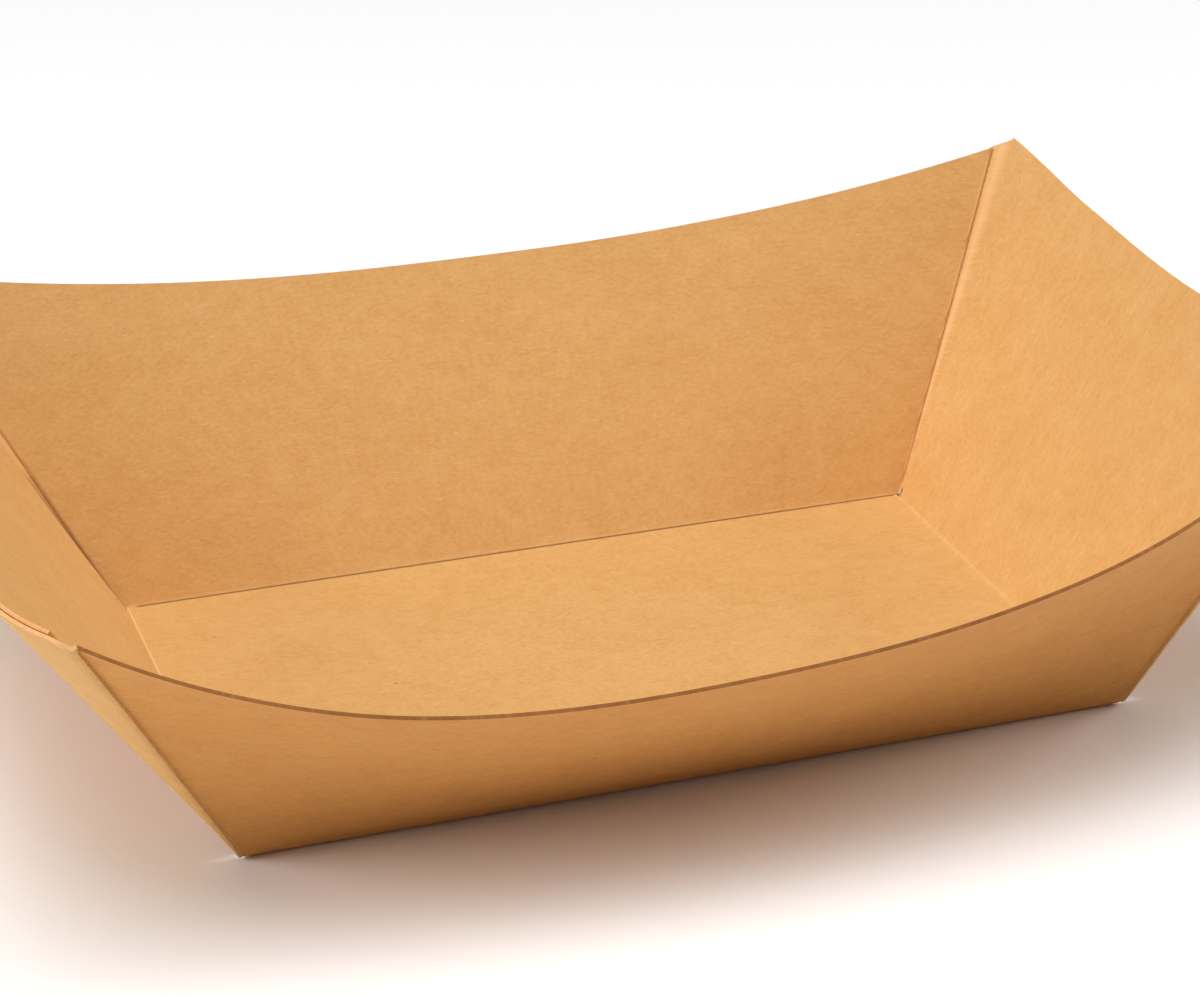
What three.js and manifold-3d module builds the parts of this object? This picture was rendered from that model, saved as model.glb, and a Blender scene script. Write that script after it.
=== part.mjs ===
// Kraft paper food tray, folded from one blank of board and glued at its four corners.
// Millimetres, +Z up. X runs along the tray, and -Y is the front. The origin is on the
// surface that the tray stands on, under the middle of its outline.
//
// The two long walls carry a glue flap at each end. A flap turns round the corner fold and
// lies on the outside of the end wall, whose own side edge stops short of the fold and whose
// top corner stands a little above the flap.

import * as THREE from 'three';
import { mergeGeometries, mergeVertices } from 'three/addons/utils/BufferGeometryUtils.js';
import Module from 'manifold-3d';

const wasm = await Module();
wasm.setup();

// The board and its folds
const boardThickness = 0.45;
const glueFilm = 0.1;
const foldReach = 0.8;

// The floor, between the creases
const floorLength = 114;
const floorWidth = 66;

// The corner folds: how far their tops stand out from the floor's corners, and how high
const cornerOutAtEnds = 21;
const cornerOutAtSides = 17.6;
const cornerHeight = 44.5;

// The middle of each rim: how far it stands out from its crease, and how high, with the fullness
// of its bulge and of its dip
const rims = {
  front: { out: 29.7, height: 30.3, bulge: 2, dip: 3.2 },
  back: { out: 26.5, height: 34.5, bulge: 2.3, dip: 2.35 },
  left: { out: 30.6, height: 42.1, bulge: 4.8, dip: 2.2 },
  right: { out: 27.1, height: 40.6, bulge: 5.4, dip: 1.8 },
};

// Hand folding leaves each corner a little off the even form: the first three are added to the
// values above, and the point is how far the end wall's top corner stands over its even rim
const cornerSet = {
  frontLeft: { end: 0.1, side: 1.2, up: -4.1, point: 1.1 },
  frontRight: { end: -1.3, side: -2, up: 4.2, point: 1.8 },
  backLeft: { end: 3, side: 0.4, up: -0.2, point: 1.8 },
  backRight: { end: 0, side: 0.5, up: 0.8, point: 2.8 },
};
const pointLength = 9;

// Towards a corner, the straight lines of an end wall gather at the corner of the floor
const footGather = 1.75;

// The slit between each end wall's side edge and the corner fold
const slitWidthAtFloor = 1.35;
const slitWidthAtRim = 2.6;

// The glue flaps, measured along the rim, with a foot that rises and a top just under the rim
const flapReach = 23;
const flapFootRise = 5;
const flapDrop = 0.4;

// The glued patch between a flap and its end wall: its reach up the wall is in shares of the height
const glueInset = 2.5;
const glueBite = 0.12;
const gluedFrom = 0.2;
const gluedTo = 0.6;

// How finely the curved walls are divided
const stepsAlong = 22;
const stepsUnderFlap = 8;
const stepsBetweenFlaps = 8;
const stepsUp = 5;
const crowding = 1.25;
const normalStep = 0.01;
const weldDistance = 0.001;
const mitreLimit = 0.5;

const FRONT = -1;
const BACK = 1;
const LEFT = -1;
const RIGHT = 1;
const middle = boardThickness / 2;
const { lerp } = THREE.MathUtils;

const cornerName = (end, side) => (side === FRONT ? 'front' : 'back') + (end === LEFT ? 'Left' : 'Right');
const floorCorner = (end, side) => new THREE.Vector3((end * floorLength) / 2, (side * floorWidth) / 2, middle);

function foldTop(end, side) {
  const set = cornerSet[cornerName(end, side)];
  const reach = new THREE.Vector3(
    end * (cornerOutAtEnds + set.end),
    side * (cornerOutAtSides + set.side),
    cornerHeight + set.up,
  );
  return floorCorner(end, side).add(reach);
}

// A rim's bow away from the straight line between its corners: 1 in the middle, 0 at both ends
const bow = (s, fullness) => 1 - Math.abs(s) ** fullness;

const cornerHalfWidth = floorWidth / 2 + cornerOutAtSides;
const gather = (s) => Math.sign(s) * (1 - (1 - Math.abs(s)) ** footGather);
const spread = (v) => Math.sign(v) * (1 - (1 - Math.abs(v)) ** (1 / footGather));

// Long rim, with s from -1 at the left corner fold to 1 at the right one
function longRim(side, s) {
  const rim = side === FRONT ? rims.front : rims.back;
  const corners = [foldTop(LEFT, side), foldTop(RIGHT, side)];
  const chordMiddle = corners[0].clone().lerp(corners[1], 0.5);
  const point = corners[0].clone().lerp(corners[1], (1 + s) / 2);
  point.y += bow(s, rim.bulge) * (side * (floorWidth / 2 + rim.out) - chordMiddle.y);
  point.z += bow(s, rim.dip) * (rim.height - chordMiddle.z);
  return point;
}

// End rim, with s from -1 at the front corner fold to 1 at the back one
function endRim(end, s) {
  const rim = end === LEFT ? rims.left : rims.right;
  const corners = [foldTop(end, FRONT), foldTop(end, BACK)];
  const chordMiddle = corners[0].clone().lerp(corners[1], 0.5);
  const point = corners[0].clone().lerp(corners[1], (1 + s) / 2);
  point.x += bow(s, rim.bulge) * (end * (floorLength / 2 + rim.out) - chordMiddle.x);
  point.z += bow(s, rim.dip) * (rim.height - chordMiddle.z);
  return point;
}

// How far the end rim stands up at its corner point, by the distance from the corner fold
function pointRise(end, s) {
  const { point } = cornerSet[cornerName(end, Math.sign(s) || BACK)];
  const fromFold = (1 - Math.abs(s)) * cornerHalfWidth;
  if (fromFold <= slitWidthAtRim) return (point * fromFold) / slitWidthAtRim;
  return point * Math.max(0, 1 - (fromFold - slitWidthAtRim) / pointLength) ** 2;
}

// Each wall is ruled: straight lines run from its crease (t = 0) to its rim (t = 1)
function longWall(side, s, t) {
  const foot = new THREE.Vector3((s * floorLength) / 2, (side * floorWidth) / 2, middle);
  return foot.lerp(longRim(side, s), t);
}

function endWall(end, s, t) {
  const foot = new THREE.Vector3((end * floorLength) / 2, (gather(s) * floorWidth) / 2, middle);
  const rim = endRim(end, s);
  return foot.lerp(rim, t * (1 + pointRise(end, s) / foot.distanceTo(rim)));
}

// The outward direction of an end wall, level, and long enough to step off it by a distance
function endOutward(end, s, t, distance) {
  const from = Math.min(s, 1 - normalStep);
  const across = endWall(end, from + normalStep, t).sub(endWall(end, from, t));
  const up = endWall(end, s, t + normalStep).sub(endWall(end, s, t));
  const normal = across.cross(up).normalize();
  const level = new THREE.Vector3(normal.x, normal.y, 0);
  const lean = level.length();
  level.multiplyScalar(distance / (lean * lean));
  return Math.sign(level.x) === end ? level : level.negate();
}

// The outer layer: the flap's middle surface, one board and the glue outside the end wall
const layerStep = boardThickness + glueFilm;
const flapSurface = (end, s, t) => endWall(end, s, t).add(endOutward(end, s, t, layerStep));

// Stations are the places across a wall or up it where its grid has a line
const crowd = (u) => Math.sign(u) * (1 - (1 - Math.abs(u)) ** crowding);
const floorFoldLong = 1 - foldReach / (floorLength / 2);
const floorFoldWide = 1 - foldReach / (floorWidth / 2);
const edgeAtFloor = spread(1 - slitWidthAtFloor / (floorWidth / 2));
const edgeAtRim = 1 - slitWidthAtRim / cornerHalfWidth;
const flapStation = 1 - flapReach / cornerHalfWidth;

// The end wall's own side edge: its distance from the fold grows evenly from floor to rim
const edgeStation = (t) => 1 - 1 / lerp(1 / (1 - edgeAtFloor), 1 / (1 - edgeAtRim), t);

function longStations() {
  const inner = Array.from({ length: stepsAlong + 1 }, (_, i) => floorFoldLong * crowd((2 * i) / stepsAlong - 1));
  return [-1, ...inner, 1];
}

// From the flap's raw edge to the slit, along the half that lies towards s = 1
const flapShares = Array.from({ length: stepsUnderFlap + 1 }, (_, i) => i / stepsUnderFlap);
const flapStations = () => flapShares.map((share) => lerp(flapStation, edgeAtRim, share));

// The columns of an end wall's grid: each gives its station at a height
function endColumns() {
  const half = flapShares.map((share) => (t) => lerp(flapStation, edgeStation(t), share));
  const otherHalf = half.map((column) => (t) => -column(t)).reverse();
  const between = Array.from({ length: stepsBetweenFlaps - 1 }, (_, i) => () =>
    lerp(-flapStation, flapStation, (i + 1) / stepsBetweenFlaps));
  return [...otherHalf, ...between, ...half];
}

const wallLength = (side, s) => longWall(side, s, 0).distanceTo(longWall(side, s, 1));
const endLength = (end, s) => endWall(end, s, 0).distanceTo(endWall(end, s, 1));

// Heights up a wall, as shares of its own length: the crease, the end of its bend, the rest
const heightStation = (row, bendShare) =>
  row === 0 ? 0 : lerp(bendShare, 1, (row - 1) / stepsUp);
const rowCount = stepsUp + 1;

// A fold's bend: the crease line is drawn halfway in towards the chord of its bend
const bend = (before, crease, after) => crease.clone().lerp(before.clone().lerp(after, 0.5), 0.5);

function longWallPoint(side, s, row) {
  const share = heightStation(row, foldReach / wallLength(side, s));
  if (row > 0) return longWall(side, s, share);
  const onFloor = new THREE.Vector3((s * floorLength) / 2, side * (floorWidth / 2 - foldReach), middle);
  return bend(onFloor, longWall(side, s, 0), longWall(side, s, foldReach / wallLength(side, s)));
}

function endWallPoint(end, column, row) {
  const bendShare = foldReach / endLength(end, column(0));
  const share = heightStation(row, bendShare);
  const s = column(share);
  if (row > 0) return endWall(end, s, share);
  const foot = endWall(end, s, 0);
  const onFloor = foot.clone().setX(end * (floorLength / 2 - foldReach));
  return bend(onFloor, foot, endWall(end, s, bendShare));
}

// The flap's foot rises from the corner towards its raw edge, clear of the end crease
function flapPoint(end, side, s, row) {
  const away = (1 - s) / (1 - flapStation);
  const drop = flapDrop * Math.min(1, (1 - s) / (1 - edgeAtRim));
  const length = endLength(end, side * s);
  const share = heightStation(row, foldReach / wallLength(side, end));
  const raised = lerp((away * flapFootRise) / length, 1 - drop / length, share);
  const point = flapSurface(end, side * s, raised);
  if (row === 0 && away === 0) point.z = longWallPoint(side, end, 0).z + glueFilm;
  return point;
}

// A patch of the sheet's middle surface, as a grid of points
function patch(columns, rows, pointAt, flip = false) {
  const positions = [];
  for (const column of columns) {
    for (let row = 0; row < rows; row += 1) positions.push(...pointAt(column, row).toArray());
  }
  const indices = [];
  for (let i = 0; i + 1 < columns.length; i += 1) {
    for (let row = 0; row + 1 < rows; row += 1) {
      const a = i * rows + row;
      const quad = [a, a + rows, a + rows + 1, a + 1];
      if (flip) quad.reverse();
      indices.push(quad[0], quad[1], quad[2], quad[0], quad[2], quad[3]);
    }
  }
  const geometry = new THREE.BufferGeometry();
  geometry.setAttribute('position', new THREE.Float32BufferAttribute(positions, 3));
  geometry.setIndex(indices);
  return geometry;
}

// The floor's grid meets every wall at the wall's own crease points
function floorPatch() {
  const along = longStations();
  const feet = endColumns().map((column) => gather(column(0)));
  const foldAcross = [-1, -floorFoldWide, ...feet, floorFoldWide, 1];
  const onFloor = (s, v) => new THREE.Vector3((s * floorLength) / 2, (v * floorWidth) / 2, middle);
  const pointAt = (s, row) => {
    const v = foldAcross[row];
    if (Math.abs(v) === 1) return longWallPoint(v, s, 0);
    if (Math.abs(s) === 1) return endWallPoint(s, () => spread(v), 0);
    return onFloor(s, v);
  };
  return patch(along, foldAcross.length, pointAt);
}

function longWallPatch(side) {
  return patch(longStations(), rowCount + 1, (s, row) => longWallPoint(side, s, row), side === FRONT);
}

// The last strip of a long wall, from the floor's corner to the fold, and the flap beyond it
function flapPatch(end, side) {
  const onWall = (row) => longWallPoint(side, end, row);
  const onFlap = (s) => (row) => flapPoint(end, side, s, row);
  const columns = [onWall, onFlap(1), ...flapStations().reverse().map(onFlap)];
  return patch(columns, rowCount + 1, (column, row) => column(row), end !== side);
}

function endWallPatch(end) {
  return patch(endColumns(), rowCount + 1, (column, row) => endWallPoint(end, column, row), end === RIGHT);
}

// Gives a sheet its thickness: both faces, and an edge wherever the sheet ends. A mitre at a
// fold never reaches below the surface that the tray stands on.
function shell(sheet, thickness) {
  const source = mergeVertices(sheet, weldDistance);
  const index = source.index.array;
  const at = (i) => new THREE.Vector3().fromBufferAttribute(source.attributes.position, i);
  const faceNormals = [];
  const facesAt = new Map();
  for (let f = 0; f < index.length; f += 3) {
    const [a, b, c] = [at(index[f]), at(index[f + 1]), at(index[f + 2])];
    const corners = [a, b, c];
    const normal = b.clone().sub(a).cross(c.clone().sub(a)).normalize();
    faceNormals.push(normal);
    for (let k = 0; k < 3; k += 1) {
      const toNext = corners[(k + 1) % 3].clone().sub(corners[k]);
      const toLast = corners[(k + 2) % 3].clone().sub(corners[k]);
      const entry = { normal, angle: toNext.angleTo(toLast) };
      const key = index[f + k];
      facesAt.set(key, [...(facesAt.get(key) ?? []), entry]);
    }
  }
  const count = source.attributes.position.count;
  const positions = new Float32Array(count * 6);
  for (let i = 0; i < count; i += 1) {
    const around = facesAt.get(i);
    const mean = new THREE.Vector3();
    for (const { normal, angle } of around) mean.addScaledVector(normal, angle);
    mean.normalize();
    const mitre = Math.max(mitreLimit, Math.min(...around.map(({ normal }) => normal.dot(mean))));
    const offset = mean.multiplyScalar(thickness / 2 / mitre);
    [at(i).add(offset), at(i).sub(offset)].forEach((point, face) => {
      point.setZ(Math.max(point.z, 0)).toArray(positions, (face * count + i) * 3);
    });
  }
  const indices = [];
  const edges = new Set();
  for (let f = 0; f < index.length; f += 3) {
    const face = [index[f], index[f + 1], index[f + 2]];
    indices.push(...face, count + face[2], count + face[1], count + face[0]);
    for (let k = 0; k < 3; k += 1) edges.add(`${face[k]}:${face[(k + 1) % 3]}`);
  }
  for (const edge of edges) {
    const [a, b] = edge.split(':').map(Number);
    if (edges.has(`${b}:${a}`)) continue;
    indices.push(b, a, count + a, b, count + a, count + b);
  }
  return { positions, indices: Uint32Array.from(indices) };
}

function solid({ positions, indices }) {
  const mesh = new wasm.Mesh({ numProp: 3, vertProperties: positions, triVerts: indices });
  return new wasm.Manifold(mesh);
}

// The glue between a flap and its end wall, which makes the corner one body
function gluePatch(end, side) {
  const inset = glueInset / cornerHalfWidth;
  const columns = flapStations().filter((s) => s > flapStation + inset && s < edgeStation(gluedFrom) - inset);
  const shares = [gluedFrom, (gluedFrom + gluedTo) / 2, gluedTo];
  const pointAt = (s, row) => {
    const halfway = endOutward(end, side * s, shares[row], layerStep / 2);
    return endWall(end, side * s, shares[row]).add(halfway);
  };
  return shell(patch(columns, shares.length, pointAt, end === side), glueFilm + 2 * glueBite);
}

const ends = [LEFT, RIGHT];
const sides = [FRONT, BACK];
const corners = ends.flatMap((end) => sides.map((side) => [end, side]));

const sheet = mergeGeometries([
  floorPatch(),
  ...sides.map(longWallPatch),
  ...ends.map(endWallPatch),
  ...corners.map(([end, side]) => flapPatch(end, side)),
]);

let tray = solid(shell(sheet, boardThickness));
for (const [end, side] of corners) tray = tray.add(solid(gluePatch(end, side)));

function toGeometry(body) {
  const mesh = body.getMesh();
  const geometry = new THREE.BufferGeometry();
  geometry.setAttribute('position', new THREE.BufferAttribute(mesh.vertProperties, 3));
  geometry.setIndex(new THREE.BufferAttribute(mesh.triVerts, 1));
  return geometry;
}

const kraftBoard = new THREE.MeshStandardMaterial({ color: '#d9a566', roughness: 0.85, metalness: 0 });

const trayMesh = new THREE.Mesh(toGeometry(tray), kraftBoard);
trayMesh.name = 'folded_tray';
trayMesh.geometry.computeBoundingBox();
const outline = trayMesh.geometry.boundingBox.getCenter(new THREE.Vector3());
trayMesh.position.set(-outline.x, -outline.y, -trayMesh.geometry.boundingBox.min.z);
trayMesh.geometry.computeVertexNormals();

const foodTray = new THREE.Group();
foodTray.add(trayMesh);

export default foodTray;
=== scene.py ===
"""Looks of the kraft paper food tray: one folded and glued sheet of brown board.

The tray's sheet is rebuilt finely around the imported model: a floor, two long walls with a glue
flap at each end, and two end walls that lie inside the flaps. Sizes are in metres.
"""

import logging
import math
from collections.abc import Callable, Sequence
from dataclasses import dataclass, field
from enum import Enum

import bmesh
import bpy
from mathutils import Matrix, Vector, noise


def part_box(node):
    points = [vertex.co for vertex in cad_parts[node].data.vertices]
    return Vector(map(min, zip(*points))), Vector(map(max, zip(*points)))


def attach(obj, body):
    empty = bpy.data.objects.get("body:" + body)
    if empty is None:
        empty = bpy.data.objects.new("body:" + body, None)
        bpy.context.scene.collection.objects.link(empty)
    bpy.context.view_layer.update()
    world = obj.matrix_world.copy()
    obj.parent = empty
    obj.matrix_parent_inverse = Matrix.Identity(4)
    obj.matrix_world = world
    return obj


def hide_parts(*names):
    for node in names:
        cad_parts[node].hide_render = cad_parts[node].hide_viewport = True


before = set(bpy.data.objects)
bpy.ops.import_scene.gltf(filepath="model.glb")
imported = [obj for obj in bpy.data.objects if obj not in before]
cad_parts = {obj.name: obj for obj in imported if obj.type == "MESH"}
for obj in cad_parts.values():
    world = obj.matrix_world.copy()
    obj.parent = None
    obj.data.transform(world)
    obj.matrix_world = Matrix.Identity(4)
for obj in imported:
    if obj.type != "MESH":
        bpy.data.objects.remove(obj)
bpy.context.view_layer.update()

LOG = logging.getLogger("food_tray")
CAD_NODE = "folded_tray"
BODY = "root"
MM = 0.001
STATION_STEP = 0.01
STATION_GAP = 0.002

Station = Callable[[float], float]
Colour = tuple[float, float, float, float]


class End(Enum):
    """The two short ends of the tray, by the sign of X."""

    LEFT = -1
    RIGHT = 1


class Side(Enum):
    """The two long sides of the tray, by the sign of Y."""

    FRONT = -1
    BACK = 1


class Board(Enum):
    """The tray's material slots; a cut edge takes the slot after its own panel's."""

    FRONT_FACE = 0
    # The front wall has its own slots so that its rim's cut edge can carry painted shade.
    FRONT_CUT = 1
    PLAIN_FACE = 2
    PLAIN_CUT = 3


class Mark(Enum):
    """Places where the board's colour changes, by the name of their attribute.

    The inner face has painted shade and painted highlight as lines along the creases and in the
    slits; the outer face is painted darker, as shade.
    """

    DARK = "dark_line"
    PALE = "pale_line"
    OUTER_SHADE = "outer_tone"


@dataclass(frozen=True)
class Rim:
    """The middle of a rim: how far out and how high, and how full its bulge and its dip are."""

    out: float
    height: float
    bulge: float
    dip: float


@dataclass(frozen=True)
class CornerSet:
    """What hand folding adds to one corner, and how far the end wall's point stands up there."""

    end: float
    side: float
    up: float
    point: float


@dataclass(frozen=True)
class BlankSizes:
    """Sizes of the folded blank."""

    board: float = 0.45 * MM
    glue_film: float = 0.1 * MM
    fold_reach: float = 0.8 * MM
    floor_length: float = 114 * MM
    floor_width: float = 66 * MM
    corner_out_at_ends: float = 21 * MM
    corner_out_at_sides: float = 17.6 * MM
    corner_height: float = 44.5 * MM
    point_length: float = 17 * MM
    foot_gather: float = 1.75
    slit_at_floor: float = 1.35 * MM
    slit_at_rim: float = 2.6 * MM
    flap_reach: float = 23 * MM
    flap_foot_rise: float = 5 * MM
    flap_drop: float = 0.4 * MM


@dataclass(frozen=True)
class GridSteps:
    """How finely each part of the sheet is divided."""

    along: int = 96
    under_flap: int = 20
    between_flaps: int = 28
    up: int = 26
    crowding: float = 1.25
    fold_rows: tuple[float, ...] = (0.12 * MM, 0.3 * MM, 0.55 * MM, 0.8 * MM)
    strip_columns: int = 4


LONG_RIMS = {
    Side.FRONT: Rim(29.7 * MM, 30.3 * MM, 2.0, 3.2),
    Side.BACK: Rim(26.5 * MM, 34.5 * MM, 2.3, 2.35),
}
END_RIMS = {
    End.LEFT: Rim(30.6 * MM, 42.1 * MM, 4.8, 2.2),
    End.RIGHT: Rim(27.1 * MM, 40.6 * MM, 5.4, 1.8),
}
CORNER_SETS = {
    (End.LEFT, Side.FRONT): CornerSet(0.1 * MM, 1.2 * MM, -4.1 * MM, 1.1 * MM),
    (End.RIGHT, Side.FRONT): CornerSet(-1.3 * MM, -2 * MM, 4.2 * MM, 1.8 * MM),
    (End.LEFT, Side.BACK): CornerSet(3 * MM, 0.4 * MM, -0.2 * MM, 1.8 * MM),
    (End.RIGHT, Side.BACK): CornerSet(0.0, 0.5 * MM, 0.8 * MM, 2.8 * MM),
}


@dataclass(frozen=True)
class FoldLook:
    """A crease's painted shade and highlight, and how far from its left end the shade starts."""

    dark: float
    pale: float
    gap: float = 0.0


# Crease lines: the dark ones are painted shade, the pale ones painted highlight.
SIDE_CREASES = {
    Side.FRONT: FoldLook(0.5, 0.0),
    Side.BACK: FoldLook(1.0, 0.0, 1.7 * MM),
}
END_CREASES = {End.LEFT: FoldLook(0.0, 0.8), End.RIGHT: FoldLook(0.0, 0.12)}


@dataclass(frozen=True)
class SlitLook:
    """The painted shade in a slit and how high it reaches; the fold's painted highlight."""

    shade_height: float
    pale: float
    fade: float = 0.4


# Each corner's slit: painted shade low in it, and a painted highlight along its fold.
SLITS = {
    (End.LEFT, Side.FRONT): SlitLook(0.3, 0.3),
    (End.RIGHT, Side.FRONT): SlitLook(0.12, 0.3),
    (End.LEFT, Side.BACK): SlitLook(0.5, 0.5),
    (End.RIGHT, Side.BACK): SlitLook(0.1, 1.0),
}


def lerp(start: float, stop: float, share: float) -> float:
    """Returns the number at a share of the way from start to stop."""
    return start + (stop - start) * share


def bezier(points: Sequence[Vector], share: float) -> Vector:
    """Returns the point at a share along the curve that its control points give."""
    row = list(points)
    while len(row) > 1:
        row = [a.lerp(b, share) for a, b in zip(row, row[1:])]
    return row[0]


@dataclass
class FoldedTray:
    """The whole tray: its sheet, folds, slits and glue flaps.

    Attributes:
        sizes: the sizes of the folded blank.
        steps: how finely the sheet is divided.
        ripple_height: how far the ripple moves the sheet.
        ripple_length: the length of the ripple's waves.
        ripple_full: the height above the floor from which the ripple is full.
        fold_fullness: how round a corner fold is, as a share of its width.
        flap_grain: how far a flap's grain keeps the direction of the end wall's.
        most_stretch: the most that a fold may thicken the board.
        weld_distance: the distance at which the edge points of two panels are joined.
        sharp_angle: the angle between faces from which they show an edge.
    """

    sizes: BlankSizes = field(default_factory=BlankSizes)
    steps: GridSteps = field(default_factory=GridSteps)
    ripple_height: float = 0.14 * MM
    ripple_length: float = 26 * MM
    ripple_full: float = 8 * MM
    fold_fullness: float = 0.45
    flap_grain: float = 0.3
    most_stretch: float = 1.25
    weld_distance: float = 0.002 * MM
    sharp_angle: float = math.radians(50)

    def __post_init__(self) -> None:
        """Works out the stations that several parts share."""
        z = self.sizes
        self.half_width = z.floor_width / 2
        self.half_length = z.floor_length / 2
        self.corner_half_width = self.half_width + z.corner_out_at_sides
        self.middle = z.board / 2
        self.edge_at_floor = self.spread(1 - z.slit_at_floor / self.half_width)
        self.edge_at_rim = 1 - z.slit_at_rim / self.corner_half_width
        self.flap_station = 1 - z.flap_reach / self.corner_half_width

    def gather(self, station: float) -> float:
        """Returns where a station's line starts on the end crease: lines gather at the corners."""
        away = max(0.0, 1 - abs(station))
        return math.copysign(1 - away ** self.sizes.foot_gather, station)

    def spread(self, foot: float) -> float:
        """Returns the station whose line starts at a place on the end crease."""
        away = max(0.0, 1 - abs(foot))
        return math.copysign(1 - away ** (1 / self.sizes.foot_gather), foot)

    def fold_top(self, end: End, side: Side) -> Vector:
        """Returns the top of a corner fold."""
        z = self.sizes
        extra = CORNER_SETS[(end, side)]
        return Vector((
            end.value * (self.half_length + z.corner_out_at_ends + extra.end),
            side.value * (self.half_width + z.corner_out_at_sides + extra.side),
            self.middle + z.corner_height + extra.up,
        ))

    @staticmethod
    def bow(station: float, fullness: float) -> float:
        """Returns a rim's share of its bow: 1 in the middle of the wall, 0 at its corners."""
        return 1 - abs(station) ** fullness

    def long_wall(self, side: Side, station: float, share: float) -> Vector:
        """Places a point of a long wall.

        Args:
            side: which long wall.
            station: from -1 at the left corner fold to 1 at the right one.
            share: from 0 at the crease to 1 at the rim.

        Returns:
            The point on the sheet's middle surface.
        """
        rim = LONG_RIMS[side]
        left, right = self.fold_top(End.LEFT, side), self.fold_top(End.RIGHT, side)
        chord = left.lerp(right, 0.5)
        top = left.lerp(right, (1 + station) / 2)
        out = side.value * (self.half_width + rim.out) - chord.y
        top.y += self.bow(station, rim.bulge) * out
        top.z += self.bow(station, rim.dip) * (rim.height - chord.z)
        foot = Vector((station * self.half_length, side.value * self.half_width, self.middle))
        return foot.lerp(top, share)

    def end_wall(self, end: End, station: float, share: float) -> Vector:
        """Places a point of an end wall.

        Args:
            end: which end wall.
            station: from -1 at the front corner fold to 1 at the back one.
            share: from 0 at the crease to 1 at the rim.

        Returns:
            The point on the sheet's middle surface.
        """
        rim = END_RIMS[end]
        front, back = self.fold_top(end, Side.FRONT), self.fold_top(end, Side.BACK)
        chord = front.lerp(back, 0.5)
        top = front.lerp(back, (1 + station) / 2)
        out = end.value * (self.half_length + rim.out) - chord.x
        top.x += self.bow(station, rim.bulge) * out
        top.z += self.bow(station, rim.dip) * (rim.height - chord.z)
        across = self.gather(station) * self.half_width
        foot = Vector((end.value * self.half_length, across, self.middle))
        rise = self.point_rise(end, station) / (top - foot).length
        return foot.lerp(top, share * (1 + rise))

    def point_rise(self, end: End, station: float) -> float:
        """Returns how far the end rim stands up at its corner point."""
        z = self.sizes
        side = Side.BACK if station >= 0 else Side.FRONT
        point = CORNER_SETS[(end, side)].point
        from_fold = max(0.0, 1 - abs(station)) * self.corner_half_width
        if from_fold <= z.slit_at_rim:
            return point * from_fold / z.slit_at_rim
        return point * max(0.0, 1 - (from_fold - z.slit_at_rim) / z.point_length) ** 2

    def end_length(self, end: End, station: float) -> float:
        """Returns the length of an end wall's straight line at a station."""
        return (self.end_wall(end, station, 1) - self.end_wall(end, station, 0)).length

    def end_outward(self, end: End, station: float, share: float, distance: float) -> Vector:
        """Returns the level step that leads off an end wall by a distance, outwards."""
        step = STATION_STEP
        start = min(station, 1 - step)
        across = self.end_wall(end, start + step, share) - self.end_wall(end, start, share)
        up = self.end_wall(end, station, share + step) - self.end_wall(end, station, share)
        normal = across.cross(up).normalized()
        level = Vector((normal.x, normal.y, 0))
        level *= distance / level.length_squared
        return level if level.x * end.value > 0 else -level

    def edge_station(self, share: float) -> float:
        """Returns the station of an end wall's own side edge at a height."""
        away = lerp(1 / (1 - self.edge_at_floor), 1 / (1 - self.edge_at_rim), share)
        return 1 - 1 / away

    def long_stations(self) -> list[float]:
        """Returns the grid lines along the tray, closer together towards the corners."""
        count = self.steps.along
        shares = [2 * i / count - 1 for i in range(count + 1)]
        inner = [math.copysign(1 - (1 - abs(u)) ** self.steps.crowding, u) for u in shares]
        rows = [1 - row / self.half_length for row in self.steps.fold_rows]
        inner = [s for s in inner if abs(s) < rows[-1] - STATION_GAP]
        return [-1.0, *(-s for s in rows), *inner, *reversed(rows), 1.0]

    def end_columns(self) -> list[Station]:
        """Returns an end wall's grid lines: each gives its station at a height."""
        under, between = self.steps.under_flap, self.steps.between_flaps

        def near_edge(share: float, sign: int) -> Station:
            """Returns a grid line between a flap's raw edge and the wall's own side edge."""
            return lambda t: sign * lerp(self.flap_station, self.edge_station(t), share)

        def between_flaps(share: float) -> Station:
            """Returns a grid line between the two flaps."""
            return lambda t: lerp(-self.flap_station, self.flap_station, share)

        half = [near_edge(i / under, 1) for i in range(under + 1)]
        other = [near_edge(i / under, -1) for i in range(under, -1, -1)]
        return [*other, *(between_flaps(i / between) for i in range(1, between)), *half]

    def floor_stations(self) -> list[float]:
        """Returns the grid lines across the floor, which meet the end walls' feet."""
        feet = [self.gather(column(0.0)) for column in self.end_columns()]
        rows = [1 - row / self.half_width for row in self.steps.fold_rows]
        rows = [s for s in rows if s > feet[-1] + STATION_GAP]
        return [-1.0, *(-s for s in rows), *feet, *reversed(rows), 1.0]

    def wall_rows(self, length: float) -> list[float]:
        """Returns the grid lines up a wall, as shares of its length, with the fold's rows."""
        rows = [row / length for row in self.steps.fold_rows]
        count = self.steps.up
        return [0.0, *rows, *(lerp(rows[-1], 1, i / count) for i in range(1, count + 1))]

    def row_share(self, row: int, length: float) -> float:
        """Returns the height of a grid line on a wall of some length."""
        return self.wall_rows(length)[row]

    @property
    def row_count(self) -> int:
        """Returns the number of grid lines up a wall."""
        return len(self.steps.fold_rows) + 1 + self.steps.up

    def fold_shift(self, distance: float, inward: Vector, outward: Vector) -> Vector:
        """Returns how a rounded fold moves a point of the sharp one.

        Args:
            distance: from the crease, below zero on the floor and above zero on the wall.
            inward: the direction from the crease into the floor.
            outward: the direction from the crease up the wall.

        Returns:
            The move, which is nothing beyond the fold's reach.
        """
        reach = self.sizes.fold_reach
        if abs(distance) >= reach:
            return Vector()
        share = (distance + reach) / (2 * reach)
        sharp = inward * -distance if distance < 0 else outward * distance
        return bezier([inward * reach, Vector(), outward * reach], share) - sharp

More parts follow.
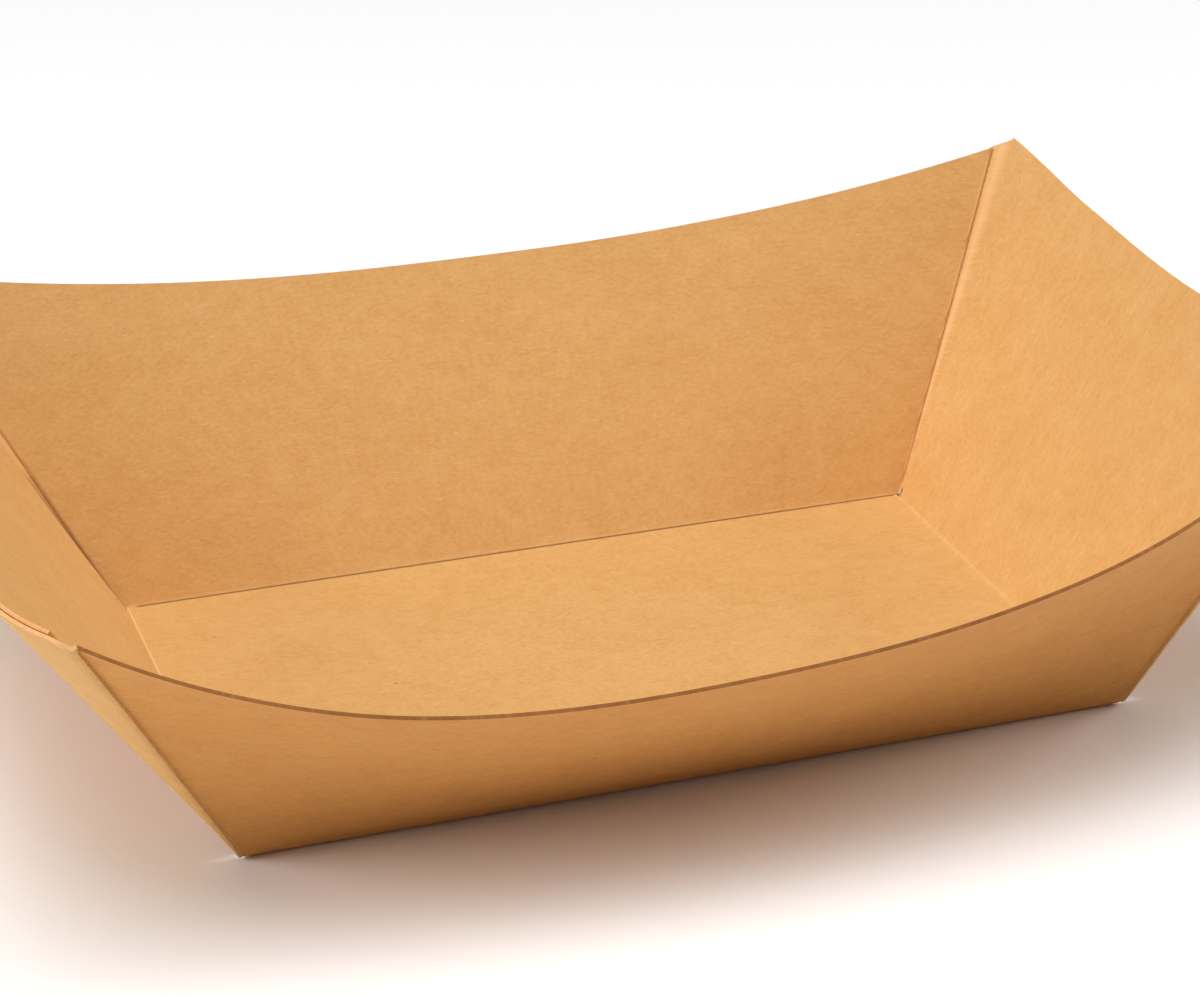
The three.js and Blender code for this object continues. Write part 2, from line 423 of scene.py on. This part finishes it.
    def long_fold(self, side: Side, station: float, distance: float) -> Vector:
        """Returns the rounding of a long crease at a distance from it."""
        up = self.long_wall(side, station, 1) - self.long_wall(side, station, 0)
        return self.fold_shift(distance, Vector((0, -side.value, 0)), up.normalized())

    def end_fold(self, end: End, station: float, distance: float) -> Vector:
        """Returns the rounding of an end crease at a distance from it."""
        up = self.end_wall(end, station, 1) - self.end_wall(end, station, 0)
        return self.fold_shift(distance, Vector((-end.value, 0, 0)), up.normalized())

    def floor_point(self, u: float, v: float) -> Vector:
        """Places a point of the floor, with u along the tray and v across it."""
        point = Vector((u * self.half_length, v * self.half_width, self.middle))
        side = Side.BACK if v > 0 else Side.FRONT
        end = End.RIGHT if u > 0 else End.LEFT
        shift = self.long_fold(side, u, (abs(v) - 1) * self.half_width)
        if abs(v) < 1:
            shift += self.end_fold(end, self.spread(v), (abs(u) - 1) * self.half_length)
        return point + shift

    def long_point(self, side: Side, station: float, row: int) -> Vector:
        """Places a point of a long wall's grid."""
        length = (self.long_wall(side, station, 1) - self.long_wall(side, station, 0)).length
        share = self.row_share(row, length)
        shift = self.long_fold(side, station, share * length)
        return self.long_wall(side, station, share) + shift

    def end_point(self, end: End, column: Station, row: int) -> Vector:
        """Places a point of an end wall's grid."""
        length = self.end_length(end, column(0.0))
        share = self.row_share(row, length)
        station = column(share)
        shift = self.end_fold(end, station, share * length)
        return self.end_wall(end, station, share) + shift

    def flap_point(self, end: End, side: Side, station: float, row: int) -> Vector:
        """Places a point of a glue flap, from its fold at station 1 to its raw edge."""
        z = self.sizes
        at = side.value * station
        length = self.end_length(end, at)
        away = (1 - station) / (1 - self.flap_station)
        drop = z.flap_drop * min(1.0, (1 - station) / (1 - self.edge_at_rim))
        share = self.row_share(row, length)
        raised = lerp(away * z.flap_foot_rise / length, 1 - drop / length, share)
        step = self.end_outward(end, at, raised, z.board + z.glue_film)
        point = self.end_wall(end, at, raised) + step
        if share * length < z.fold_reach:
            low = self.long_point(side, float(end.value), row).z + z.glue_film
            point.z = max(point.z, low)
        return point

    def strip_point(self, end: End, side: Side, across: float, row: int) -> Vector:
        """Places a point of the corner fold between a long wall's end and its flap."""
        sign = float(end.value)
        start = self.long_point(side, sign, row)
        before = self.long_point(side, sign * (1 - STATION_STEP), row)
        stop = self.flap_point(end, side, 1.0, row)
        after = self.flap_point(end, side, 1 - STATION_STEP, row)
        reach = (stop - start).length * self.fold_fullness
        leaving = (start - before).normalized() * reach
        arriving = (after - stop).normalized() * reach
        return bezier([start, start + leaving, stop - arriving, stop], across)

    def add_panel(
        self,
        mesh: bmesh.types.BMesh,
        columns: Sequence,
        rows: Sequence,
        point_at: Callable,
        blank_at: Callable,
        marks_at: Callable,
        board: Board,
        deep: float = 1.0,
    ) -> None:
        """Adds one panel of the sheet, as a grid laid on its surface.

        Args:
            mesh: the mesh that the panel goes into.
            columns: what each grid line one way stands for.
            rows: what each grid line the other way stands for.
            point_at: gives the place of a column and a row.
            blank_at: gives the place of a column and a row on the flat blank, for the UV map.
            marks_at: gives the strength of each mark for a column and a row.
            board: the panel's material slot.
            deep: how much painted shade the panel's outer face has.
        """
        across, up = len(columns) - 1, len(rows) - 1
        made = bmesh.ops.create_grid(mesh, x_segments=across, y_segments=up, size=0.5)
        layers = {mark: mesh.verts.layers.float[mark.value] for mark in Mark}
        blank = {}
        for vertex in made["verts"]:
            column = columns[round((vertex.co.x + 0.5) * across)]
            row = rows[round((vertex.co.y + 0.5) * up)]
            vertex.co = point_at(column, row)
            blank[vertex] = blank_at(column, row, vertex.co)
            for mark, strength in zip(Mark, (*marks_at(column, row), deep)):
                vertex[layers[mark]] = strength
        uv = mesh.loops.layers.uv.verify()
        for face in {face for vertex in made["verts"] for face in vertex.link_faces}:
            face.material_index = board.value
            for loop in face.loops:
                loop[uv].uv = blank[loop.vert].to_2d()

    def crease_marks(self, look: FoldLook, distance: float, along: float) -> tuple[float, float]:
        """Returns the marks of a crease at a distance from it and a place along it.

        Args:
            look: how the crease shows.
            distance: from the crease.
            along: from the crease's left or front end.

        Returns:
            The painted shade and the painted highlight.
        """
        width = self.steps.fold_rows[1]
        near = max(0.0, 1 - distance / width)
        fade = 1.0 if along >= look.gap else 0.0
        return look.dark * near * fade, look.pale * near

    def add_floor(self, mesh: bmesh.types.BMesh) -> None:
        """Adds the floor, whose grid lines meet those of the walls."""

        def marks(u: float, v: float) -> tuple[float, float]:
            """Returns the painted shade and highlight of the creases round the floor."""
            side = Side.BACK if v > 0 else Side.FRONT
            end = End.RIGHT if u > 0 else End.LEFT
            from_side = (1 - abs(v)) * self.half_width
            from_end = (1 - abs(u)) * self.half_length
            at_side = self.crease_marks(SIDE_CREASES[side], from_side, (u + 1) * self.half_length)
            at_end = self.crease_marks(END_CREASES[end], from_end, (v + 1) * self.half_width)
            return max(at_side[0], at_end[0]), max(at_side[1], at_end[1])

        self.add_panel(
            mesh, self.long_stations(), self.floor_stations(), self.floor_point,
            lambda u, v, at: at, marks, Board.PLAIN_FACE,
        )

    def add_long_wall(self, mesh: bmesh.types.BMesh, side: Side) -> None:
        """Adds a long wall between its two corner folds."""

        def flat(u: float, row: int, at: Vector) -> Vector:
            """Returns a point's place on the flat blank."""
            up = (at - self.long_wall(side, u, 0)).length
            return Vector((at.x, side.value * (self.half_width + up), 0))

        def marks(u: float, row: int) -> tuple[float, float]:
            """Returns the painted shade and highlight of the wall's crease."""
            length = (self.long_wall(side, u, 1) - self.long_wall(side, u, 0)).length
            distance = self.row_share(row, length) * length
            return self.crease_marks(SIDE_CREASES[side], distance, (u + 1) * self.half_length)

        self.add_panel(
            mesh, self.long_stations(), range(self.row_count),
            lambda u, row: self.long_point(side, u, row), flat, marks,
            Board.FRONT_FACE if side is Side.FRONT else Board.PLAIN_FACE,
        )

    def add_end_wall(self, mesh: bmesh.types.BMesh, end: End) -> None:
        """Adds an end wall between its two slits."""

        def flat(column: Station, row: int, at: Vector) -> Vector:
            """Returns a point's place on the flat blank."""
            up = (at - self.end_wall(end, column(0.0), 0)).length
            return Vector((end.value * (self.half_length + up), at.y, 0))

        def marks(column: Station, row: int) -> tuple[float, float]:
            """Returns the painted shade and highlight of the wall's crease."""
            length = self.end_length(end, column(0.0))
            distance = self.row_share(row, length) * length
            along = (self.gather(column(0.0)) + 1) * self.half_width
            return self.crease_marks(END_CREASES[end], distance, along)

        self.add_panel(
            mesh, self.end_columns(), range(self.row_count),
            lambda column, row: self.end_point(end, column, row), flat, marks, Board.PLAIN_FACE,
        )

    def add_flap(self, mesh: bmesh.types.BMesh, end: End, side: Side) -> None:
        """Adds a glue flap and the rounded fold that joins it to its long wall."""
        look = SLITS[(end, side)]
        strips = self.steps.strip_columns
        strip = [2 - i / strips for i in range(strips)]
        count = self.steps.under_flap
        inner = [lerp(self.edge_at_rim, self.flap_station, i / count) for i in range(count + 1)]
        half_slit = lerp(1, self.edge_at_rim, 0.5)
        stations = [*strip, 1.0, half_slit, *inner]
        corner = Vector((end.value * self.half_length, side.value * self.half_width, 0))

        def place(u: float, row: int) -> Vector:
            """Places a point of the fold, at stations from 2 to 1, or of the flap beyond it."""
            if u > 1:
                return self.strip_point(end, side, 2 - u, row)
            return self.flap_point(end, side, u, row)

        def flat(u: float, row: int, at: Vector) -> Vector:
            """Returns a point's place on the flat blank."""
            out = (at - corner).length
            across = side.value * out + (at.y - corner.y) * self.flap_grain
            return corner + Vector((end.value * out, across, 0))

        def marks(u: float, row: int) -> tuple[float, float]:
            """Returns the painted shade in the slit and the painted highlight along the fold."""
            share = row / (self.row_count - 1)
            dark = max(0.0, 1 - share / look.shade_height) ** look.fade
            in_slit = self.flap_station < u <= 1
            on_fold = 1.0 if u > 1 else 0.5 if u == half_slit else 0.0
            return (dark if in_slit else 0.0), look.pale * on_fold * (1 - dark)

        # The flaps' outer faces get none of the outer face's painted shade.
        self.add_panel(
            mesh, stations, range(self.row_count), place, flat, marks, Board.PLAIN_FACE, deep=0.0
        )

    def ripple(self, mesh: bmesh.types.BMesh) -> None:
        """Bends the sheet very slightly, as board that has been folded by hand."""
        for vertex in mesh.verts:
            push = noise.noise_vector(vertex.co / self.ripple_length)
            above = min(1.0, max(0.0, vertex.co.z / self.ripple_full))
            vertex.co += push * self.ripple_height * above

    def build(self, boards: Sequence[bpy.types.Material]) -> bpy.types.Object:
        """Builds the tray's sheet.

        Args:
            boards: the material of each slot.

        Returns:
            The sheet as one object whose board modifier gives it its thickness.
        """
        mesh = bmesh.new()
        for mark in Mark:
            mesh.verts.layers.float.new(mark.value)
        self.add_floor(mesh)
        for side in Side:
            self.add_long_wall(mesh, side)
        for end in End:
            self.add_end_wall(mesh, end)
            for side in Side:
                self.add_flap(mesh, end, side)
        bmesh.ops.remove_doubles(mesh, verts=mesh.verts[:], dist=self.weld_distance)
        bmesh.ops.recalc_face_normals(mesh, faces=mesh.faces[:])
        floor_face = min(mesh.faces, key=lambda face: face.calc_center_median().length)
        if floor_face.normal.z < 0:
            bmesh.ops.reverse_faces(mesh, faces=mesh.faces[:])
        self.ripple(mesh)
        data = bpy.data.meshes.new("kraft_tray_sheet")
        mesh.to_mesh(data)
        mesh.free()
        for board in boards:
            data.materials.append(board)
        sheet = bpy.data.objects.new("kraft_tray", data)
        bpy.context.scene.collection.objects.link(sheet)
        thick = sheet.modifiers.new("board", "SOLIDIFY")
        thick.thickness = self.sizes.board
        thick.offset = 0
        thick.use_even_offset = True
        thick.material_offset_rim = 1
        return sheet

    def finish(self, sheet: bpy.types.Object) -> Vector:
        """Makes the sheet solid, keeps each mark on its own face and moves the mesh into place.

        Args:
            sheet: the object that build() made.

        Returns:
            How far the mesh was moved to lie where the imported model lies.
        """
        inner_count = len(sheet.data.vertices)
        graph = bpy.context.evaluated_depsgraph_get()
        data = bpy.data.meshes.new_from_object(sheet.evaluated_get(graph))
        data.name = "kraft_tray_board"
        sheet.modifiers.clear()
        sheet.data = data
        data.polygons.foreach_set("use_smooth", [True] * len(data.polygons))
        data.set_sharp_from_angle(angle=self.sharp_angle)
        # The outer face's painted shade stays on the outer vertices, the painted lines on the inner
        # ones.
        for mark in Mark:
            layer = data.attributes[mark.value].data
            clear = range(inner_count) if mark is Mark.OUTER_SHADE else range(inner_count, 2 * inner_count)
            for index in clear:
                layer[index].value = 0.0
        self.even_out(data, inner_count)
        low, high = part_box(CAD_NODE)
        points = [vertex.co for vertex in data.vertices]
        mine = [(min(p[i] for p in points), max(p[i] for p in points)) for i in range(3)]
        shift = Vector((
            (low.x + high.x - sum(mine[0])) / 2,
            (low.y + high.y - sum(mine[1])) / 2,
            low.z - mine[2][0],
        ))
        data.transform(Matrix.Translation(shift))
        return shift

    def even_out(self, data: bpy.types.Mesh, inner_count: int) -> None:
        """Keeps the board's thickness even where folds meet, and its underside flat.

        Args:
            data: the solid mesh, with its inner vertices first.
            inner_count: the number of vertices of each face of the board.
        """
        most = self.sizes.board * self.most_stretch
        for inner, outer in zip(data.vertices[:inner_count], data.vertices[inner_count:]):
            middle, half = (inner.co + outer.co) / 2, (inner.co - outer.co) / 2
            if half.length > most / 2:
                half *= most / 2 / half.length
                inner.co, outer.co = middle + half, middle - half
            inner.co.z = max(inner.co.z, 0.0)
            outer.co.z = max(outer.co.z, 0.0)


def srgb(red: int, green: int, blue: int) -> Colour:
    """Returns the linear colour of an 8-bit display colour."""

    def linear(value: int) -> float:
        """Returns the linear share of one display value."""
        share = value / 255
        return share / 12.92 if share <= 0.04045 else ((share + 0.055) / 1.055) ** 2.4

    return linear(red), linear(green), linear(blue), 1.0


class Nodes:
    """A short hand for laying shader nodes in a tree.

    A mix node's colour sockets lie after the sockets of its other data types.
    """

    MIX_INPUTS = (0, 6, 7)
    MIX_RESULT = 2

    def __init__(self, tree: bpy.types.NodeTree) -> None:
        """Keeps the tree that the nodes go into."""
        self.tree = tree

    def add(self, kind: str, **values: object) -> bpy.types.Node:
        """Adds a node.

        Args:
            kind: the node's type name.
            values: its settings, or the values of its input sockets with _ for a space.

        Returns:
            The new node.
        """
        node = self.tree.nodes.new(kind)
        for name, value in values.items():
            socket = node.inputs.get(name.replace("_", " "))
            if socket is not None:
                socket.default_value = value
            else:
                setattr(node, name, value)
        return node

    def link(self, source: bpy.types.NodeSocket, target: bpy.types.NodeSocket) -> None:
        """Joins two sockets."""
        self.tree.links.new(source, target)

    def maths(self, operation: str, first: object, second: object) -> bpy.types.NodeSocket:
        """Adds a calculation of two values, each a socket or a number, and returns its result."""
        node = self.add("ShaderNodeMath", operation=operation)
        for socket, value in zip(node.inputs, (first, second)):
            if isinstance(value, bpy.types.NodeSocket):
                self.link(value, socket)
            else:
                socket.default_value = value
        return node.outputs[0]

    def mix(
        self, share: object, under: object, over: object, blend: str = "MIX"
    ) -> bpy.types.NodeSocket:
        """Adds a mix of two colours, each a socket or a colour, and returns its result."""
        node = self.add("ShaderNodeMix", data_type="RGBA", blend_type=blend)
        for index, value in zip(self.MIX_INPUTS, (share, under, over)):
            if isinstance(value, bpy.types.NodeSocket):
                self.link(value, node.inputs[index])
            else:
                node.inputs[index].default_value = value
        return node.outputs[self.MIX_RESULT]


@dataclass(frozen=True)
class FibreLook:
    """The size of the paper's fibres, how they curl, and how rare and how soft they are."""

    length: float = 2.4 * MM
    width: float = 0.3 * MM
    curl: float = 0.45 * MM
    curl_scale: float = 260.0
    level: float = 0.62
    softness: float = 0.12


def fibre_group(look: FibreLook) -> bpy.types.NodeTree:
    """Makes the shared pattern of short paper fibres.

    Args:
        look: the fibres' look.

    Returns:
        A node group that turns a place on the blank into a fibre mask.
    """
    tree = bpy.data.node_groups.new("paper_fibres", "ShaderNodeTree")
    sockets = tree.interface
    sockets.new_socket("Vector", in_out="INPUT", socket_type="NodeSocketVector")
    plain = {"Length": look.length, "Width": look.width, "Turn": 0.0, "Level": look.level}
    for name, value in plain.items():
        socket = sockets.new_socket(name, in_out="INPUT", socket_type="NodeSocketFloat")
        socket.default_value = value
    sockets.new_socket("Mask", in_out="OUTPUT", socket_type="NodeSocketFloat")
    make = Nodes(tree)
    start, stop = make.add("NodeGroupInput"), make.add("NodeGroupOutput")
    curl = make.add("ShaderNodeTexNoise", Scale=look.curl_scale, Detail=1.0)
    curl_size = make.add("ShaderNodeVectorMath", operation="SCALE")
    curl_size.inputs["Scale"].default_value = look.curl
    curled = make.add("ShaderNodeVectorMath", operation="ADD")
    turned = make.add("ShaderNodeVectorRotate", rotation_type="Z_AXIS")
    size = make.add("ShaderNodeCombineXYZ", Z=1.0)
    stretched = make.add("ShaderNodeVectorMath", operation="DIVIDE")
    streaks = make.add("ShaderNodeTexNoise", Scale=1.0, Detail=1.0)
    mask = make.add("ShaderNodeMapRange", interpolation_type="SMOOTHSTEP")
    make.link(start.outputs["Vector"], curl.inputs["Vector"])
    make.link(curl.outputs["Color"], curl_size.inputs[0])
    make.link(start.outputs["Vector"], curled.inputs[0])
    make.link(curl_size.outputs[0], curled.inputs[1])
    make.link(curled.outputs[0], turned.inputs["Vector"])
    make.link(start.outputs["Turn"], turned.inputs["Angle"])
    make.link(start.outputs["Length"], size.inputs["X"])
    make.link(start.outputs["Width"], size.inputs["Y"])
    make.link(turned.outputs[0], stretched.inputs[0])
    make.link(size.outputs[0], stretched.inputs[1])
    make.link(stretched.outputs[0], streaks.inputs["Vector"])
    make.link(streaks.outputs["Fac"], mask.inputs["Value"])
    make.link(start.outputs["Level"], mask.inputs["From Min"])
    make.link(make.maths("ADD", start.outputs["Level"], look.softness), mask.inputs["From Max"])
    make.link(mask.outputs["Result"], stop.inputs["Mask"])
    return tree


@dataclass(frozen=True)
class CloudLayer:
    """One layer of cloudy tone: its scale, its detail and its strength."""

    scale: float
    detail: float
    strength: float


@dataclass(frozen=True)
class SpeckLook:
    """Dark specks: how close they lie, how few cells have one, how wide and how strong it is."""

    scale: float = 210.0
    rarity: float = 0.93
    radius: float = 0.045
    strength: float = 0.55


@dataclass(frozen=True)
class KraftFinish:
    """Uncoated kraft board: its colours, painted shade and highlight, cloudiness, fibres and
    surface.
    """

    name: str
    tone: Colour
    cloud_dark: Colour
    cloud_pale: Colour
    dark_fibre: Colour
    pale_fibre: Colour
    # Colour of the painted shade in creases and slits, and also of the paper's real dark specks.
    dark_line: Colour = srgb(112, 66, 24)
    # Colour of the painted highlight along the creases and corner folds.
    pale_line: Colour = srgb(247, 200, 142)
    # The tint that paints shade onto the outer face.
    outer_shade_tint: Colour = (0.94, 0.77, 0.57, 1.0)
    cloud_stretch: tuple[float, float, float] = (0.75, 1.0, 1.0)
    cloud_range: tuple[float, float] = (0.32, 0.68)
    cloud_layers: tuple[CloudLayer, ...] = (
        CloudLayer(85.0, 3.0, 0.45),
        CloudLayer(420.0, 4.0, 0.36),
        CloudLayer(1700.0, 2.0, 0.3),
    )
    dark_turns: tuple[float, ...] = (0.06, -0.3, 0.55)
    pale_turns: tuple[float, ...] = (0.2, -0.12, -0.6)
    fibre_strength: float = 0.15
    speck: SpeckLook = SpeckLook()
    gloss: float = 0.3
    roughness: float = 0.66
    roughness_change: float = 0.06
    grit_scale: float = 1700.0
    bump: float = 0.22
    bump_depth: float = 0.05 * MM

    def material(self, fibres: bpy.types.NodeTree) -> bpy.types.Material:
        """Makes the material.

        Args:
            fibres: the shared fibre group.

        Returns:
            The board's material.
        """
        made = bpy.data.materials.new(self.name)
        made.use_nodes = True
        tree = made.node_tree
        tree.nodes.clear()
        make = Nodes(tree)
        blank = make.add("ShaderNodeUVMap").outputs[0]
        output = make.add("ShaderNodeOutputMaterial")
        skin = make.add(
            "ShaderNodeBsdfPrincipled", Metallic=0.0, IOR=1.45, Specular_IOR_Level=self.gloss
        )
        make.link(skin.outputs[0], output.inputs["Surface"])

        colour = self.clouds(make, blank)
        dark = self.fibre_layers(make, blank, fibres, self.dark_turns)
        pale = self.fibre_layers(make, blank, fibres, self.pale_turns)
        for mask, tint in ((dark, self.dark_fibre), (pale, self.pale_fibre)):
            colour = make.mix(make.maths("MULTIPLY", mask, self.fibre_strength), colour, tint)
        colour = self.specks(make, blank, colour)
        # The outer face is painted darker, as shade.
        outer = make.add("ShaderNodeAttribute", attribute_name=Mark.OUTER_SHADE.value)
        colour = make.mix(outer.outputs["Fac"], colour, self.outer_shade_tint, blend="MULTIPLY")
        # Painted shade and painted highlight as lines along the creases and in the slits.
        for mark, tint in ((Mark.DARK, self.dark_line), (Mark.PALE, self.pale_line)):
            line = make.add("ShaderNodeAttribute", attribute_name=mark.value)
            colour = make.mix(line.outputs["Fac"], colour, tint)
        make.link(colour, skin.inputs["Base Color"])

        grit = make.add("ShaderNodeTexNoise", Scale=self.grit_scale, Detail=3.0, Roughness=0.6)
        make.link(blank, grit.inputs["Vector"])
        bump = make.add("ShaderNodeBump", Strength=self.bump, Distance=self.bump_depth)
        make.link(make.maths("ADD", grit.outputs["Fac"], pale), bump.inputs["Height"])
        make.link(bump.outputs[0], skin.inputs["Normal"])
        rough = make.add("ShaderNodeMapRange")
        rough.inputs["To Min"].default_value = self.roughness - self.roughness_change
        rough.inputs["To Max"].default_value = self.roughness + self.roughness_change
        make.link(grit.outputs["Fac"], rough.inputs["Value"])
        make.link(rough.outputs["Result"], skin.inputs["Roughness"])
        return made

    def clouds(self, make: Nodes, blank: bpy.types.NodeSocket) -> bpy.types.NodeSocket:
        """Lays the board's cloudy tone, large and small, and returns its colour."""
        colour: object = self.tone
        drawn = make.add("ShaderNodeMapping", vector_type="POINT")
        drawn.inputs["Scale"].default_value = self.cloud_stretch
        make.link(blank, drawn.inputs["Vector"])
        for layer in self.cloud_layers:
            cloud = make.add(
                "ShaderNodeTexNoise", Scale=layer.scale, Detail=layer.detail, Roughness=0.6
            )
            make.link(drawn.outputs[0], cloud.inputs["Vector"])
            ramp = make.add("ShaderNodeValToRGB")
            tints = (self.cloud_dark, self.cloud_pale)
            for stop, place, tint in zip(ramp.color_ramp.elements, self.cloud_range, tints):
                stop.position = place
                stop.color = tint
            make.link(cloud.outputs["Fac"], ramp.inputs["Fac"])
            colour = make.mix(layer.strength, colour, ramp.outputs["Color"])
        return colour

    def specks(
        self, make: Nodes, blank: bpy.types.NodeSocket, colour: bpy.types.NodeSocket
    ) -> bpy.types.NodeSocket:
        """Strews a few tiny dark specks over a colour and returns the result."""
        look = self.speck
        cells = make.add("ShaderNodeTexVoronoi", Scale=look.scale)
        make.link(blank, cells.inputs["Vector"])
        chance = make.add("ShaderNodeSeparateColor")
        make.link(cells.outputs["Color"], chance.inputs[0])
        rare = make.maths("GREATER_THAN", chance.outputs[0], look.rarity)
        near = make.maths("LESS_THAN", cells.outputs["Distance"], look.radius)
        share = make.maths("MULTIPLY", make.maths("MULTIPLY", rare, near), look.strength)
        return make.mix(share, colour, self.dark_line)

    def fibre_layers(
        self,
        make: Nodes,
        blank: bpy.types.NodeSocket,
        fibres: bpy.types.NodeTree,
        turns: Sequence[float],
    ) -> bpy.types.NodeSocket:
        """Lays fibres in several directions.

        Args:
            make: the node helper.
            blank: the place on the blank.
            fibres: the shared fibre group.
            turns: the direction of each layer, in radians.

        Returns:
            The fibres' mask.
        """
        total = None
        for turn in turns:
            layer = make.add("ShaderNodeGroup", node_tree=fibres)
            layer.inputs["Turn"].default_value = turn
            make.link(blank, layer.inputs["Vector"])
            mask = layer.outputs["Mask"]
            total = mask if total is None else make.maths("MAXIMUM", total, mask)
        return total


FACE_BOARD = KraftFinish(
    "kraft_board_face",
    tone=srgb(214, 163, 98),
    cloud_dark=srgb(203, 148, 81),
    cloud_pale=srgb(224, 177, 115),
    dark_fibre=srgb(172, 116, 62),
    pale_fibre=srgb(244, 204, 152),
)
# The front rim's cut edge: the same board as the other cut edges, painted darker as shade.
DARK_CUT = KraftFinish(
    "kraft_board_shaded_cut",
    tone=srgb(146, 95, 48),
    cloud_dark=srgb(124, 76, 34),
    cloud_pale=srgb(166, 113, 64),
    dark_fibre=srgb(110, 66, 30),
    pale_fibre=srgb(205, 156, 104),
    roughness=0.8,
    bump=0.4,
)
PALE_CUT = KraftFinish(
    "kraft_board_pale_cut",
    tone=srgb(226, 172, 112),
    cloud_dark=srgb(205, 148, 90),
    cloud_pale=srgb(238, 190, 134),
    dark_fibre=srgb(160, 106, 58),
    pale_fibre=srgb(244, 204, 152),
    roughness=0.8,
    bump=0.4,
)
SLOT_FINISHES = {
    Board.FRONT_FACE: FACE_BOARD,
    Board.FRONT_CUT: DARK_CUT,
    Board.PLAIN_FACE: FACE_BOARD,
    Board.PLAIN_CUT: PALE_CUT,
}


@dataclass(frozen=True)
class Lamp:
    """A soft square lamp: its name, place, size and power."""

    name: str
    place: tuple[float, float, float]
    size: float
    power: float


@dataclass
class Studio:
    """The pale floor, the soft lights and the camera."""

    shift: Vector
    frame_width: int = 1200
    azimuth: float = math.radians(20.42)
    elevation: float = math.radians(25.02)
    roll: float = math.radians(0.8)
    focal_pixels: float = 3044.2
    sensor: float = 36.0
    camera_place: tuple[float, float, float] = (-0.12449, -0.33026, 0.18774)
    nearest_seen: float = 0.01
    farthest_seen: float = 20.0
    floor_size: float = 6.0
    floor_shade: float = 0.94
    sky_level: float = 0.12
    lamps: tuple[Lamp, ...] = (
        Lamp("overhead_softbox", (-0.2, -0.2, 1.45), 1.0, 17.5),
        Lamp("left_softbox", (-1.2, -0.05, 0.6), 0.6, 8.5),
        Lamp("right_softbox", (1.2, -0.05, 0.6), 0.6, 6.5),
    )

    def add_camera(self) -> None:
        """Adds the camera where the photograph was taken from."""
        forward = Vector((
            math.sin(self.azimuth) * math.cos(self.elevation),
            math.cos(self.azimuth) * math.cos(self.elevation),
            -math.sin(self.elevation),
        ))
        right = Vector((math.cos(self.azimuth), -math.sin(self.azimuth), 0))
        up = right.cross(forward)
        rolled_right = right * math.cos(self.roll) + up * math.sin(self.roll)
        rolled_up = up * math.cos(self.roll) - right * math.sin(self.roll)
        turn = Matrix((rolled_right, rolled_up, -forward)).transposed().to_4x4()
        data = bpy.data.cameras.new("camera")
        data.sensor_width = self.sensor
        data.lens = self.focal_pixels / self.frame_width * self.sensor
        data.clip_start = self.nearest_seen
        data.clip_end = self.farthest_seen
        camera = bpy.data.objects.new("camera", data)
        camera.matrix_world = Matrix.Translation(Vector(self.camera_place) + self.shift) @ turn
        bpy.context.scene.collection.objects.link(camera)
        bpy.context.scene.camera = camera

    def add_floor(self) -> None:
        """Adds the plain white floor."""
        mesh = bmesh.new()
        bmesh.ops.create_grid(mesh, x_segments=1, y_segments=1, size=self.floor_size / 2)
        data = bpy.data.meshes.new("studio_floor")
        mesh.to_mesh(data)
        mesh.free()
        floor = bpy.data.objects.new("studio_floor", data)
        bpy.context.scene.collection.objects.link(floor)
        material = bpy.data.materials.new("studio_floor_white")
        material.use_nodes = True
        skin = material.node_tree.nodes["Principled BSDF"]
        skin.inputs["Base Color"].default_value = (*[self.floor_shade] * 3, 1)
        skin.inputs["Roughness"].default_value = 1.0
        skin.inputs["Specular IOR Level"].default_value = 0.0
        data.materials.append(material)

    def add_world(self) -> None:
        """Adds the even light all round, which also shows white to the camera."""
        world = bpy.data.worlds.new("studio")
        world.use_nodes = True
        make = Nodes(world.node_tree)
        sky = world.node_tree.nodes["Background"]
        sky.inputs["Color"].default_value = (1, 1, 1, 1)
        path = make.add("ShaderNodeLightPath")
        seen = make.maths("MAXIMUM", path.outputs["Is Camera Ray"], path.outputs["Is Glossy Ray"])
        level = make.add("ShaderNodeMapRange")
        level.inputs["To Min"].default_value = self.sky_level
        level.inputs["To Max"].default_value = 1.0
        make.link(seen, level.inputs["Value"])
        make.link(level.outputs["Result"], sky.inputs["Strength"])
        bpy.context.scene.world = world

    @staticmethod
    def add_lamp(lamp: Lamp) -> None:
        """Adds a lamp that faces the tray."""
        data = bpy.data.lights.new(lamp.name, "AREA")
        data.shape = "SQUARE"
        data.size = lamp.size
        data.energy = lamp.power
        made = bpy.data.objects.new(lamp.name, data)
        aim = Vector(lamp.place).to_track_quat("Z", "Y").to_matrix().to_4x4()
        made.matrix_world = Matrix.Translation(lamp.place) @ aim
        bpy.context.scene.collection.objects.link(made)

    def build(self) -> None:
        """Adds the whole studio."""
        self.add_camera()
        self.add_floor()
        self.add_world()
        for lamp in self.lamps:
            self.add_lamp(lamp)
        bpy.context.scene.view_settings.view_transform = "Standard"


def main() -> None:
    """Builds the tray and the studio, and reports each piece."""
    logging.basicConfig(level=logging.INFO, format="%(name)s: %(message)s")
    tray = FoldedTray()
    fibres = fibre_group(FibreLook())
    made = {finish: finish.material(fibres) for finish in dict.fromkeys(SLOT_FINISHES.values())}
    piece = tray.build([made[SLOT_FINISHES[board]] for board in Board])
    shift = tray.finish(piece)
    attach(piece, BODY)
    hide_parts(CAD_NODE)
    LOG.info("%s: %d faces, moved %s", piece.name, len(piece.data.polygons), tuple(shift))
    Studio(shift).build()


if __name__ == "__main__":
    main()
